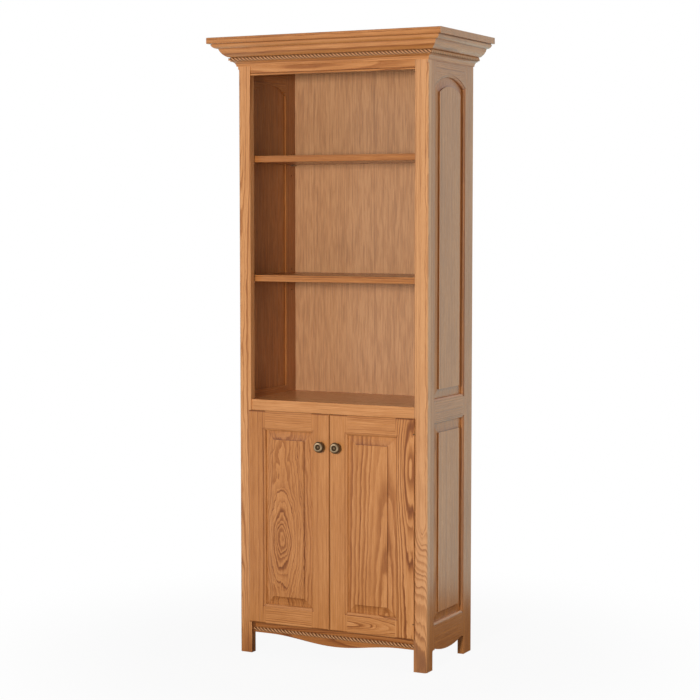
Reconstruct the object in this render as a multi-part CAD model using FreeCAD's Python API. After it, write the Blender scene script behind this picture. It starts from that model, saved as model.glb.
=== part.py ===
import FreeCAD, Part
import os
from math import cos, pi, sin, sqrt
from FreeCAD import Vector

# Free-standing oak bookcase: open shelves above, two raised-panel doors below.
# Millimetres, +Z up, front toward -Y, origin under the middle of the outline.

# Overall sizes
body_width = 615.0
body_depth = 322.0
total_height = 1829.0
crown_overhang = 68.0
cap_thickness = 18.0
cap_edge_round = 3.0

# Face frame
leg_width = 40.0
leg_thickness = 22.0
leg_round = 8.0
leg_round_stop = 73.0
top_rail_height = 91.0
top_rail_recess = 3.0
bead_height = 6.0
bead_quirk = 2.0
mid_rail_height = 35.5
mid_rail_recess = 4.0
rail_tenon_length = 12.0
rail_tenon_thickness = 8.0
rail_tenon_shoulder = 8.0

# Frame-and-panel sides
side_thickness = 19.0
side_front_arris = 50.0
side_rear_arris = 58.0
arch_drop = 98.0
arch_radius = 190.0
panel_above_deck = 12.5
side_mid_rail_face = 57.0
panel_above_floor = 12.0
front_foot_depth = 43.0
rear_foot_depth = 55.0
foot_notch_height = 57.0
foot_notch_round = 6.0
side_scallop_low = 46.0
side_scallop_end = 60.0
bottom_tongue_rise = 13.0

# Panel work shared by the sides and the doors
sticking_width = 8.0
sticking_depth = 6.5
sticking_quirk = 1.2
tongue_depth = 9.0
tongue_thickness = 5.0
groove_clearance = 1.0
bevel_width = 26.0
bevel_hollow = 0.75
field_depth = 1.0
field_step = 3.5
section_points = 4

# Boards
board_thickness = 19.0
dado_depth = 5.0
deck_top = 764.5
floor_top = 116.0
back_thickness = 6.0
back_rabbet_width = 10.0
apron_thickness = 18.0
apron_end_height = 58.5
apron_low_height = 40.0
apron_curve_reach = 215.0
apron_curve_points = 12

# Nails that hold the back
nail_diameter = 1.8
nail_length = 20.0
nail_head = 4.0
nail_head_height = 0.8
nails_per_stile = 9
nails_per_board = 3
nail_end_distance = 60.0

# Crown and rope mouldings
crown_height = 64.0
cap_reveal = 8.5
crown_quirk_height = 2.5
crown_quirk_depth = 3.0
upper_round_out = 46.0
upper_round_drop = 13.5
upper_round_sag = 2.4
crown_ledge = 3.5
lower_round_out = 22.0
lower_round_sag = 3.4
bed_out = 17.0
bed_nose = 0.5
bed_sag = 3.5
bed_foot_out = 3.5
bed_foot_height = 2.0
rope_radius = 6.2
rope_seat = 12.0
rope_centre_out = 15.6
rope_drop = 43.4
apron_rope_drop = 27.0
apron_rope_out = 3.4

# Adjustable shelves
shelf_end_clearance = 1.0
shelf_front_setback = 28.0
shelf_back_clearance = 2.0
shelf_edge_ease = 1.5
upper_shelf_drop = 325.5
lower_shelf_rise = 369.0
cabinet_shelf_rise = 314.0
support_pin_diameter = 5.0
support_pin_depth = 8.0
support_front_inset = 42.0
support_rear_inset = 30.0
support_paddle_length = 9.0
support_paddle_width = 7.0
support_paddle_thickness = 5.0
hole_pitch = 32.0

# Doors
door_overlay = 4.0
door_drop = 1.5
door_meeting_gap = 1.6
door_thickness = 20.5
lip_thickness = 10.7
lip_gap = 0.8
door_edge_gap = 2.5
door_edge_round = 5.0
door_floor_gap = 1.5
door_stile_arris = 50.0
door_top_arris = 50.0
door_bottom_arris = 52.0

# Pivot hinges hidden in kerfs in the door edge
hinge_end_distance = 45.0
hinge_pin_diameter = 4.0
hinge_pin_clearance = 0.05
hinge_pin_reach = 20.0
hinge_pin_recess = 6.0
leaf_thickness = 2.0
kerf_clearance = 0.4
leaf_eye_radius = 4.5
leaf_leg_clearance = 0.2
leaf_tab_thickness = 1.8
leaf_tab_half_height = 14.0
leaf_tab_front = 2.0
leaf_tab_rear = 20.0
leaf_screw_spacing = 16.0
leaf_screw_diameter = 3.0
leaf_screw_length = 14.0
leaf_screw_head = 5.6

# Knobs and catch
knob_from_centre = 26.5
knob_drop = 96.0
knob_rose_radius = 8.5
knob_rose_height = 1.8
knob_neck_radius = 5.2
knob_neck_out = 7.0
knob_back_radius = 15.6
knob_back_out = 14.8
knob_radius = 16.8
knob_rim_out = 17.0
knob_face_radius = 12.2
knob_face_out = 20.6
knob_groove_depth = 0.9
knob_button_radius = 7.0
knob_button_out = 20.2
knob_depth = 22.4
knob_screw_diameter = 4.0
knob_screw_grip = 12.0
knob_screw_head = 8.0
knob_screw_head_height = 2.5
strike_thickness = 1.5
strike_width = 16.0
strike_height = 13.0
strike_edge_distance = 2.0
strike_top_gap = 1.5
strike_gap = 0.3
catch_width = 46.0
catch_height = 16.0
catch_rear = 50.0

# How far a cutter runs past the wood that it trims
overrun = 1.0

# Positions that follow from the sizes above
half_width = body_width / 2
front_y = crown_overhang - (body_depth + crown_overhang) / 2
rear_y = front_y + body_depth
case_top = total_height - cap_thickness
leg_back = front_y + leg_thickness
leg_inner = half_width - leg_width
side_inner = half_width - side_thickness
back_front = rear_y - back_thickness
top_rail_bottom = case_top - top_rail_height
mid_rail_bottom = deck_top - mid_rail_height
deck_bottom = deck_top - board_thickness
floor_bottom = floor_top - board_thickness
arch_apex = case_top - arch_drop
upper_panel_bottom = deck_top + panel_above_deck
lower_panel_top = upper_panel_bottom - side_mid_rail_face
lower_panel_bottom = floor_top + panel_above_floor
front_stile_edge = front_y + side_front_arris + sticking_width
rear_stile_edge = rear_y - side_rear_arris - sticking_width
tongue_back = tongue_depth + tongue_thickness
door_top = mid_rail_bottom + door_overlay
door_bottom = floor_bottom - door_drop
door_front = front_y - lip_gap - lip_thickness
lip_back = door_front + lip_thickness
door_back = door_front + door_thickness
door_outer = leg_inner + door_overlay
door_inner = door_meeting_gap / 2
hinge_x = door_outer - lip_thickness / 2
hinge_y = door_front + lip_thickness / 2
hinge_heights = [door_bottom + hinge_end_distance, door_top - hinge_end_distance]
knob_height = door_top - knob_drop

parts = {}


def box(x0, x1, y0, y1, z0, z1):
    return Part.makeBox(x1 - x0, y1 - y0, z1 - z0, Vector(x0, y0, z0))


def rod(radius, length, base, direction):
    return Part.makeCylinder(radius, length, Vector(*base), Vector(*direction))


def flipped(shape):
    return shape.mirror(Vector(0, 0, 0), Vector(1, 0, 0))


def both_sides(name, shape):
    parts[name + "_right"] = shape
    parts[name + "_left"] = flipped(shape)


def cut_all(shape, cutters):
    for cutter in cutters:
        shape = shape.cut(cutter)
    return shape


def prism(points, direction):
    wire = Part.makePolygon(points + [points[0]])
    return Part.Face(wire).extrude(direction)


def evenly(first, last, count):
    return [first + (last - first) * i / (count - 1) for i in range(count)]


def straight_edges(points):
    return [Part.makeLine(start, end) for start, end in zip(points, points[1:])]


def bowed(start, end, sag):
    # An arc from start to end whose middle leaves the straight line by the vector sag
    return Part.Arc(start, (start + end) * 0.5 + sag, end).toShape()


def upright_round(x, y, x_sign, y_sign, radius, z0, z1):
    # The sliver to take off an upright arris so that it becomes round
    xs = sorted([x, x - x_sign * radius])
    ys = sorted([y, y - y_sign * radius])
    corner = box(xs[0], xs[1], ys[0], ys[1], z0, z1)
    centre = (x - x_sign * radius, y - y_sign * radius, z0)
    return corner.cut(rod(radius, z1 - z0, centre, (0, 0, 1)))


# Outlines of the panel openings, drawn in a plane and moved inward by an inset
def arch_spring(inset):
    half_span = (body_depth - side_front_arris - side_rear_arris) / 2 - inset
    return arch_apex - arch_radius + sqrt((arch_radius - inset) ** 2 - half_span ** 2)


def upper_outline(x, inset):
    ya = front_y + side_front_arris + inset
    yb = rear_y - side_rear_arris - inset
    spring = arch_spring(inset)
    low_front = Vector(x, ya, upper_panel_bottom + inset)
    low_rear = Vector(x, yb, upper_panel_bottom + inset)
    high_front = Vector(x, ya, spring)
    high_rear = Vector(x, yb, spring)
    crest = Vector(x, (ya + yb) / 2, arch_apex - inset)
    edges = [Part.makeLine(low_front, low_rear), Part.makeLine(low_rear, high_rear)]
    edges += [Part.Arc(high_rear, crest, high_front).toShape()]
    edges += [Part.makeLine(high_front, low_front)]
    return Part.Wire(edges)


def lower_outline(x, inset):
    ya = front_y + side_front_arris + inset
    yb = rear_y - side_rear_arris - inset
    za = lower_panel_bottom + inset
    zb = lower_panel_top - inset
    points = [Vector(x, ya, za), Vector(x, yb, za), Vector(x, yb, zb), Vector(x, ya, zb)]
    return Part.makePolygon(points + [points[0]])


def door_outline(y, inset):
    xa = door_inner + door_stile_arris + inset
    xb = door_outer - door_stile_arris - inset
    za = door_bottom + door_bottom_arris + inset
    zb = door_top - door_top_arris - inset
    points = [Vector(xa, y, za), Vector(xb, y, za), Vector(xb, y, zb), Vector(xa, y, zb)]
    return Part.makePolygon(points + [points[0]])


# Sections of the moulded edges, as pairs of depth below the face and inset from the opening's arris
def hollow_section():
    # The panel's margin leaves the tongue gently and steepens up to the step of the field
    rise = tongue_depth - field_depth - field_step
    section = []
    for share in evenly(0, 1, section_points):
        climb = rise * share * (1 - bevel_hollow * (1 - share))
        section.append((tongue_depth - climb, sticking_width + bevel_width * share))
    return section


def quarter_round_section():
    # The frame's inner arris: a quarter round below a small quirk
    drop = sticking_depth - sticking_quirk
    turns = evenly(0, pi / 2, section_points)
    return [(sticking_quirk + drop * (1 - cos(turn)), sticking_width * sin(turn)) for turn in turns]


# outline(position, inset) gives a wire; inward points from the face into the wood
def moulded(section, outline, face, inward):
    step = inward.x + inward.y
    return Part.makeLoft([outline(face + step * depth, inset) for depth, inset in section], True, True)


def raised_panel(outline, face, inward):
    step = inward.x + inward.y
    field_inset = sticking_width + bevel_width
    tongue = Part.Face(outline(face + step * tongue_depth, 0.0)).extrude(inward * tongue_thickness)
    field = Part.Face(outline(face + step * field_depth, field_inset)).extrude(inward * field_step)
    margin = moulded(hollow_section(), outline, face, inward)
    return tongue.fuse(margin).fuse(field).removeSplitter()


def panel_cutters(outline, face, inward):
    step = inward.x + inward.y
    quirk = Part.Face(outline(face, 0.0)).extrude(inward * sticking_quirk)
    sticking = moulded(quarter_round_section(), outline, face, inward)
    groove = Part.Face(outline(face + step * tongue_depth, -groove_clearance))
    return [quirk, sticking, groove.extrude(inward * tongue_thickness)]


# Face frame: two legs, a top rail with a bead, a rail under the open shelves
def rail_tenons(recess, z0, z1):
    y0 = front_y + recess + (leg_thickness - recess - rail_tenon_thickness) / 2
    reach = leg_inner + rail_tenon_length
    low, high = z0 + rail_tenon_shoulder, z1 - rail_tenon_shoulder
    return box(-reach, reach, y0, y0 + rail_tenon_thickness, low, high)


def face_rail(recess, z0, z1):
    rail = box(-leg_inner, leg_inner, front_y + recess, leg_back, z0, z1)
    return rail.fuse(rail_tenons(recess, z0, z1))


def beaded_top_rail():
    face = front_y + top_rail_recess
    bead_top = top_rail_bottom + bead_height
    radius = bead_height / 2
    quirk = box(-leg_inner, leg_inner, face, face + bead_quirk, bead_top, bead_top + bead_quirk)
    core = rod(radius, 2 * leg_inner, (-leg_inner, face + radius, top_rail_bottom + radius), (1, 0, 0))
    corners = box(-leg_inner, leg_inner, face, face + radius, top_rail_bottom, bead_top).cut(core)
    return face_rail(top_rail_recess, top_rail_bottom, case_top).cut(quirk).cut(corners)


parts["top_rail"] = beaded_top_rail()
parts["mid_rail"] = face_rail(mid_rail_recess, mid_rail_bottom, deck_top)
leg = box(leg_inner, half_width, front_y, leg_back, 0, case_top)
leg = leg.cut(upright_round(half_width, front_y, 1, -1, leg_round, 0, case_top - leg_round_stop))
leg = leg.cut(rail_tenons(top_rail_recess, top_rail_bottom, case_top))
leg = leg.cut(rail_tenons(mid_rail_recess, mid_rail_bottom, deck_top))

# Boards between the sides, let into shallow dados
board_end = side_inner + dado_depth
sub_top = box(-board_end, board_end, leg_back, back_front, case_top - board_thickness, case_top)
deck = box(-board_end, board_end, leg_back, back_front, deck_bottom, deck_top)
cabinet_floor = box(-board_end, board_end, leg_back, back_front, floor_bottom, floor_top)
floor_front = box(-leg_inner, leg_inner, door_back + door_floor_gap, leg_back, floor_bottom, floor_top)
cabinet_floor = cabinet_floor.fuse(floor_front).removeSplitter()
back_half = side_inner + back_rabbet_width
back_panel = box(-back_half, back_half, back_front, rear_y, floor_bottom, case_top)
cap_half = half_width + crown_overhang
cap_board = box(-cap_half, cap_half, front_y - crown_overhang, rear_y, case_top, total_height)
level_edges = [e for e in cap_board.Edges if e.BoundBox.ZLength < overrun]
cap_edges = [e for e in level_edges if e.BoundBox.YMax < rear_y - overrun]
parts["cap_board"] = cap_board.makeFillet(cap_edge_round, cap_edges)


# Nails through the back into the rear stiles and the ends of the three boards
def back_nail(x, z):
    shank = rod(nail_diameter / 2, nail_length, (x, rear_y, z), (0, -1, 0))
    head = rod(nail_head / 2, nail_head_height, (x, rear_y, z), (0, -1, 0))
    return shank.fuse(head).removeSplitter()


nail_x = side_inner + back_rabbet_width / 2
stile_nail_heights = evenly(floor_bottom + nail_end_distance, case_top - nail_end_distance, nails_per_stile)
board_nail_reach = side_inner - nail_end_distance
back_nails = []
for height in stile_nail_heights:
    back_nails += [back_nail(nail_x, height), back_nail(-nail_x, height)]
for board_top in (floor_top, deck_top, case_top):
    for across in evenly(-board_nail_reach, board_nail_reach, nails_per_board):
        back_nails.append(back_nail(across, board_top - board_thickness / 2))
parts["sub_top"] = cut_all(sub_top, back_nails)
parts["deck"] = cut_all(deck, back_nails)
parts["cabinet_floor"] = cut_all(cabinet_floor, back_nails)
parts["back_panel"] = cut_all(back_panel, back_nails)
parts["back_nails"] = Part.makeCompound(back_nails)


# Apron with a wave-shaped lower edge, glued behind the legs under the cabinet floor
def apron_edge_height(x):
    rise = (1 - cos(pi * x / apron_curve_reach)) / 2
    return apron_low_height + (apron_end_height - apron_low_height) * rise


def apron_board():
    stations = evenly(-apron_curve_reach, apron_curve_reach, 2 * apron_curve_points + 1)
    points = [Vector(x, leg_back, apron_edge_height(x)) for x in stations]
    wave = Part.BSplineCurve()
    wave.interpolate(points)
    left_low = Vector(-side_inner, leg_back, apron_end_height)
    right_low = Vector(side_inner, leg_back, apron_end_height)
    left_top = Vector(-side_inner, leg_back, floor_bottom)
    right_top = Vector(side_inner, leg_back, floor_bottom)
    edges = [wave.toShape(), Part.makeLine(points[-1], right_low), Part.makeLine(right_low, right_top)]
    edges += [Part.makeLine(right_top, left_top), Part.makeLine(left_top, left_low)]
    edges += [Part.makeLine(left_low, points[0])]
    return Part.Face(Part.Wire(edges)).extrude(Vector(0, apron_thickness, 0))


parts["apron"] = apron_board()


# Rope moulding blank: a round bar with a flat glued to its seat
def rope_along_x(x0, x1, seat_y, centre_y, centre_z):
    bar = rod(rope_radius, x1 - x0, (x0, centre_y, centre_z), (1, 0, 0))
    size = 2 * rope_radius
    return bar.common(box(x0, x1, centre_y - size, seat_y, centre_z - size, centre_z + size))


parts["apron_rope"] = rope_along_x(-leg_inner, leg_inner, leg_back, leg_back - apron_rope_out,
                                   floor_bottom - apron_rope_drop)


# Crown: two stacked rounds, a seat for the rope and a coved bed, mitred at both front corners
rope_centre_height = case_top - rope_drop
crown_low = case_top - crown_height


def crown_profile(to_point):
    # to_point(out, z) places a point of the section, out being the distance from the case
    outward = to_point(1, 0) - to_point(0, 0)

    def curve(start, end, sag):
        chord = end - start
        square = outward - chord * (outward.dot(chord) / chord.dot(chord))
        return bowed(start, end, square.normalize() * sag)

    nose_out = crown_overhang - cap_reveal
    quirk_out = nose_out - crown_quirk_depth
    quirk_low = case_top - crown_quirk_height
    ledge_height = case_top - upper_round_drop
    rope_top = rope_centre_height + rope_radius
    rope_low = rope_centre_height - rope_radius
    top = [to_point(0, case_top), to_point(quirk_out, case_top), to_point(quirk_out, quirk_low)]
    top += [to_point(nose_out, quirk_low)]
    ledge = [to_point(upper_round_out, ledge_height), to_point(upper_round_out - crown_ledge, ledge_height)]
    seat = [to_point(lower_round_out, rope_top), to_point(rope_seat, rope_top), to_point(rope_seat, rope_low)]
    seat += [to_point(bed_out, rope_low), to_point(bed_out, rope_low - bed_nose)]
    foot = [to_point(bed_foot_out, crown_low + bed_foot_height), to_point(bed_foot_out, crown_low)]
    foot += [to_point(0, crown_low), to_point(0, case_top)]
    edges = straight_edges(top) + [curve(top[-1], ledge[0], upper_round_sag)]
    edges += straight_edges(ledge) + [curve(ledge[-1], seat[0], lower_round_sag)]
    edges += straight_edges(seat) + [curve(seat[-1], foot[0], -bed_sag)]
    edges += straight_edges(foot)
    return Part.Face(Part.Wire(edges))


far_front = front_y - crown_overhang
up = Vector(0, 0, crown_height)
inner_corner = Vector(half_width, front_y, crown_low)
outer_corner = Vector(cap_half, far_front, crown_low)
front_plan = prism([Vector(-half_width, front_y, crown_low), inner_corner,
                    outer_corner, Vector(-cap_half, far_front, crown_low)], up)
side_plan = prism([inner_corner, outer_corner, Vector(cap_half, rear_y, crown_low),
                   Vector(half_width, rear_y, crown_low)], up)
front_crown = crown_profile(lambda out, z: Vector(-cap_half, front_y - out, z))
front_crown = front_crown.extrude(Vector(2 * cap_half, 0, 0))
side_crown = crown_profile(lambda out, z: Vector(half_width + out, far_front, z))
side_crown = side_crown.extrude(Vector(0, rear_y - far_front, 0))
front_rope = rope_along_x(-cap_half, cap_half, front_y - rope_seat, front_y - rope_centre_out,
                          rope_centre_height)
side_rope = rod(rope_radius, rear_y - far_front,
                (half_width + rope_centre_out, far_front, rope_centre_height), (0, 1, 0))
side_rope = side_rope.common(box(half_width + rope_seat, cap_half, far_front, rear_y, crown_low, case_top))
parts["crown_front"] = front_crown.common(front_plan)
both_sides("crown_side", side_crown.common(side_plan))
parts["rope_front"] = front_rope.common(front_plan)
both_sides("rope_side", side_rope.common(side_plan))

# Sides: front and rear stiles, three rails, two raised panels
into_side = Vector(-1, 0, 0)
side_cutters = panel_cutters(upper_outline, half_width, into_side)
side_cutters += panel_cutters(lower_outline, half_width, into_side)


def side_board(y0, y1, z0, z1):
    return box(side_inner, half_width, y0, y1, z0, z1)


def rail_tongues(z0, z1):
    reach = sticking_width + groove_clearance
    return box(half_width - tongue_back, half_width - tongue_depth, front_stile_edge - reach,
               rear_stile_edge + reach, z0, z1)


def foot_notch(edge, limit):
    low, high = sorted([edge, limit])
    notch = side_board(low, high, 0, foot_notch_height)
    top_edges = [e for e in notch.Edges if e.BoundBox.ZMin > foot_notch_height / 2]
    corner = [e for e in top_edges if abs(e.CenterOfMass.y - edge) < foot_notch_round / 2]
    return notch.makeFillet(foot_notch_round, corner)


def scallop():
    # The space under the bottom rail, whose upper edge sags in the middle
    front_end = Vector(side_inner, front_stile_edge, side_scallop_end)
    middle = Vector(side_inner, (front_stile_edge + rear_stile_edge) / 2, side_scallop_low)
    rear_end = Vector(side_inner, rear_stile_edge, side_scallop_end)
    front_low = Vector(side_inner, front_stile_edge, 0)
    rear_low = Vector(side_inner, rear_stile_edge, 0)
    edges = [Part.Arc(front_end, middle, rear_end).toShape(), Part.makeLine(rear_end, rear_low)]
    edges += [Part.makeLine(rear_low, front_low), Part.makeLine(front_low, front_end)]
    return Part.Face(Part.Wire(edges)).extrude(Vector(side_thickness, 0, 0))


top_rail_low = arch_spring(sticking_width)
top_tongue = rail_tongues(top_rail_low, case_top)
mid_tongue = rail_tongues(lower_panel_top, upper_panel_bottom)
low_tongue = rail_tongues(side_scallop_end + bottom_tongue_rise, lower_panel_bottom)
case_boards = [sub_top, deck, cabinet_floor, back_panel]
stile_cutters = side_cutters + [top_tongue, mid_tongue, low_tongue] + case_boards

shelf_tops = [case_top - upper_shelf_drop, deck_top + lower_shelf_rise, floor_top + cabinet_shelf_rise]
shelf_bottoms = [top - board_thickness for top in shelf_tops]
pin_rows = [front_y + support_front_inset, rear_y - support_rear_inset]


def support_pin(y, bottom):
    radius = support_pin_diameter / 2
    return rod(radius, support_pin_depth, (side_inner, y, bottom - radius), (1, 0, 0))


def support_holes(y):
    return [support_pin(y, bottom + step * hole_pitch) for bottom in shelf_bottoms for step in (-1, 0, 1)]


front_stile = cut_all(side_board(leg_back, front_stile_edge, 0, case_top), stile_cutters)
front_stile = front_stile.cut(foot_notch(front_y + front_foot_depth, front_stile_edge))
front_stile = cut_all(front_stile, support_holes(pin_rows[0]))
rear_stile = cut_all(side_board(rear_stile_edge, rear_y, 0, case_top), stile_cutters + back_nails)
rear_stile = rear_stile.cut(foot_notch(rear_y - rear_foot_depth, rear_stile_edge))
rear_stile = cut_all(rear_stile, support_holes(pin_rows[1]))

through = Vector(side_thickness, 0, 0)
panel_holes = [Part.Face(upper_outline(side_inner, sticking_width)).extrude(through),
               Part.Face(lower_outline(side_inner, sticking_width)).extrude(through)]
rail_cutters = side_cutters + panel_holes + [sub_top, deck, cabinet_floor]


def side_rail(z0, z1, tongue):
    rail = side_board(front_stile_edge, rear_stile_edge, z0, z1)
    return cut_all(rail.fuse(tongue), rail_cutters)


both_sides("side_front_stile", front_stile)
both_sides("side_rear_stile", rear_stile)
both_sides("side_top_rail", side_rail(top_rail_low, case_top, top_tongue))
both_sides("side_mid_rail", side_rail(lower_panel_top - sticking_width, upper_panel_bottom + sticking_width,
                                      mid_tongue))
both_sides("side_bottom_rail", side_rail(0, lower_panel_bottom + sticking_width, low_tongue).cut(scallop()))
both_sides("side_upper_panel", raised_panel(upper_outline, half_width, into_side))
both_sides("side_lower_panel", raised_panel(lower_outline, half_width, into_side))


# Adjustable shelves, loose on pin supports with flat paddles
def shelf_board(top):
    end = side_inner - shelf_end_clearance
    front = front_y + shelf_front_setback
    board = box(-end, end, front, back_front - shelf_back_clearance, top - board_thickness, top)
    long_edges = [e for e in board.Edges if e.BoundBox.XLength > end]
    return board.makeFillet(shelf_edge_ease, [e for e in long_edges if e.BoundBox.YMax < front + overrun])


def shelf_support(y, bottom):
    half = support_paddle_width / 2
    paddle = box(side_inner - support_paddle_length, side_inner, y - half, y + half,
                 bottom - support_paddle_thickness, bottom)
    return support_pin(y, bottom).fuse(paddle)


for shelf_name, shelf_top in zip(("upper_shelf", "lower_shelf", "cabinet_shelf"), shelf_tops):
    parts[shelf_name] = shelf_board(shelf_top)
supports = [shelf_support(y, bottom) for bottom in shelf_bottoms for y in pin_rows]
parts["shelf_supports"] = Part.makeCompound(supports + [flipped(support) for support in supports])


# Doors: the right one is drawn and mirrored
def door_rabbets():
    far_x = door_outer + overrun
    far_y = door_back + overrun
    far_z = door_top + overrun
    side = box(leg_inner - door_edge_gap, far_x, lip_back, far_y, door_bottom - overrun, far_z)
    top = box(0, far_x, lip_back, far_y, mid_rail_bottom - door_edge_gap, far_z)
    return [side, top]


def level_round(z, z_sign):
    # The sliver to take off a level front arris of the door
    r = door_edge_round
    za, zb = sorted([z, z - z_sign * r])
    bar = box(door_inner, door_outer, door_front, door_front + r, za, zb)
    return bar.cut(rod(r, door_outer, (0, door_front + r, z - z_sign * r), (1, 0, 0)))


def door_edge_rounds():
    half_lip = lip_thickness / 2
    meet = upright_round(door_inner, door_front, -1, -1, door_edge_round, door_bottom, door_top)
    outer = upright_round(door_outer, door_front, 1, -1, half_lip, door_bottom, door_top)
    outer_back = upright_round(door_outer, lip_back, 1, 1, half_lip, door_bottom, door_top)
    return [level_round(door_top, 1), level_round(door_bottom, -1), meet, outer, outer_back]


def hinge_kerf(z):
    half = leaf_thickness / 2 + kerf_clearance
    reach = leaf_eye_radius + kerf_clearance
    return box(hinge_x - reach, door_outer + overrun, hinge_y - reach, door_back + overrun,
               z - half, z + half)


def hinge_pin(z, recess):
    near_bottom = z < (door_bottom + door_top) / 2
    length = hinge_end_distance - recess + hinge_pin_reach
    start = door_bottom + recess if near_bottom else z - hinge_pin_reach
    return rod(hinge_pin_diameter / 2, length, (hinge_x, hinge_y, start), (0, 0, 1))


into_door = Vector(0, 1, 0)
stile_width = door_stile_arris + sticking_width
meeting_edge = door_inner + stile_width
hinge_edge = door_outer - stile_width
door_top_rail_low = door_top - door_top_arris - sticking_width
door_low_rail_top = door_bottom + door_bottom_arris + sticking_width


def door_tongue(z0, z1):
    reach = sticking_width + groove_clearance
    y = door_front + tongue_depth
    return box(meeting_edge - reach, hinge_edge + reach, y, y + tongue_thickness, z0, z1)


door_hole = Part.Face(door_outline(door_front, sticking_width)).extrude(into_door * door_thickness)
door_cutters = panel_cutters(door_outline, door_front, into_door) + door_rabbets() + door_edge_rounds()
door_top_tongue = door_tongue(door_top_rail_low, door_top)
door_low_tongue = door_tongue(door_bottom, door_low_rail_top)
pin_holes = [hinge_pin(z, 0.0) for z in hinge_heights]

hinge_stile = box(hinge_edge, door_outer, door_front, door_back, door_bottom, door_top)
hinge_stile = cut_all(hinge_stile, door_cutters + [door_top_tongue, door_low_tongue])
hinge_stile = cut_all(hinge_stile, [hinge_kerf(z) for z in hinge_heights] + pin_holes)
meeting_stile = box(door_inner, meeting_edge, door_front, door_back, door_bottom, door_top)
meeting_stile = cut_all(meeting_stile, door_cutters + [door_top_tongue, door_low_tongue])
knob_axis = (knob_from_centre, door_front, knob_height)
meeting_stile = meeting_stile.cut(rod(knob_screw_diameter / 2, door_thickness, knob_axis, (0, 1, 0)))


def door_rail(z0, z1, tongue):
    rail = box(meeting_edge, hinge_edge, door_front, door_back, z0, z1).fuse(tongue)
    return cut_all(rail, door_cutters + [door_hole])


both_sides("door_hinge_stile", hinge_stile)
both_sides("door_meeting_stile", meeting_stile)
both_sides("door_top_rail", door_rail(door_top_rail_low, door_top, door_top_tongue))
both_sides("door_bottom_rail", door_rail(door_bottom, door_low_rail_top, door_low_tongue))
both_sides("door_panel", raised_panel(door_outline, door_front, into_door))
both_sides("door_hinge_pins", Part.makeCompound([hinge_pin(z, hinge_pin_recess) for z in hinge_heights]))


# Hinge leaves: a tab screwed inside the leg and an eye that reaches into the kerf
def leaf_screws(z):
    y = front_y + (leaf_tab_front + leaf_tab_rear) / 2
    face = leg_inner - leaf_tab_thickness
    screws = []
    for rise in (-leaf_screw_spacing / 2, leaf_screw_spacing / 2):
        shank = rod(leaf_screw_diameter / 2, leaf_screw_length, (face, y, z + rise), (1, 0, 0))
        head = Part.makeCone(leaf_screw_head / 2, leaf_screw_diameter / 2, leaf_tab_thickness,
                             Vector(face, y, z + rise), Vector(1, 0, 0))
        screws.append(shank.fuse(head).removeSplitter())
    return screws


def hinge_leaf(z):
    half = leaf_thickness / 2
    rear = front_y + leaf_tab_rear
    eye = rod(leaf_eye_radius, leaf_thickness, (hinge_x, hinge_y, z - half), (0, 0, 1))
    arm = box(hinge_x - leaf_eye_radius, leg_inner - leaf_leg_clearance, hinge_y, rear, z - half, z + half)
    tab = box(leg_inner - leaf_tab_thickness, leg_inner, front_y + leaf_tab_front, rear,
              z - leaf_tab_half_height, z + leaf_tab_half_height)
    bore_radius = hinge_pin_diameter / 2 + hinge_pin_clearance
    bore = rod(bore_radius, leaf_thickness, (hinge_x, hinge_y, z - half), (0, 0, 1))
    return cut_all(eye.fuse(arm).fuse(tab), [bore] + leaf_screws(z)).removeSplitter()


screws = leaf_screws(hinge_heights[0]) + leaf_screws(hinge_heights[1])
both_sides("leg", cut_all(leg, screws))
both_sides("hinge_leaves", Part.makeCompound([hinge_leaf(z) for z in hinge_heights]))
parts["hinge_screws"] = Part.makeCompound(screws + [flipped(screw) for screw in screws])


# Turned knobs with a ringed face, each held by a screw from inside
def knob_point(radius, out):
    return Vector(knob_from_centre + radius, door_front - out, knob_height)


def knob():
    foot = knob_point(knob_rose_radius, knob_rose_height)
    back = knob_point(knob_back_radius, knob_back_out)
    face = knob_point(knob_face_radius, knob_face_out)
    rise = knob_depth - knob_button_out
    dome = (knob_button_radius ** 2 + rise ** 2) / (2 * rise)
    half_out = knob_depth - dome + sqrt(dome ** 2 - (knob_button_radius / 2) ** 2)
    groove_radius = (knob_face_radius + knob_button_radius) / 2
    groove = knob_point(groove_radius, knob_button_out - knob_groove_depth)
    button = knob_point(knob_button_radius, knob_button_out)
    crest = knob_point(0, knob_depth)
    edges = [Part.makeLine(knob_point(0, 0), knob_point(knob_rose_radius, 0))]
    edges += [Part.makeLine(knob_point(knob_rose_radius, 0), foot)]
    edges += [Part.Arc(foot, knob_point(knob_neck_radius, knob_neck_out), back).toShape()]
    edges += [Part.Arc(back, knob_point(knob_radius, knob_rim_out), face).toShape()]
    edges += [Part.Arc(face, groove, button).toShape()]
    edges += [Part.Arc(button, knob_point(knob_button_radius / 2, half_out), crest).toShape()]
    edges += [Part.makeLine(crest, knob_point(0, 0))]
    body = Part.Face(Part.Wire(edges)).revolve(Vector(*knob_axis), Vector(0, 1, 0), 360)
    return body.cut(rod(knob_screw_diameter / 2, knob_screw_grip, knob_axis, (0, -1, 0)))


def knob_screw():
    start = (knob_from_centre, door_front - knob_screw_grip, knob_height)
    shank = rod(knob_screw_diameter / 2, knob_screw_grip + door_thickness, start, (0, 1, 0))
    seat = (knob_from_centre, door_back, knob_height)
    return shank.fuse(rod(knob_screw_head / 2, knob_screw_head_height, seat, (0, 1, 0))).removeSplitter()


both_sides("knob", knob())
both_sides("knob_screw", knob_screw())

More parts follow.
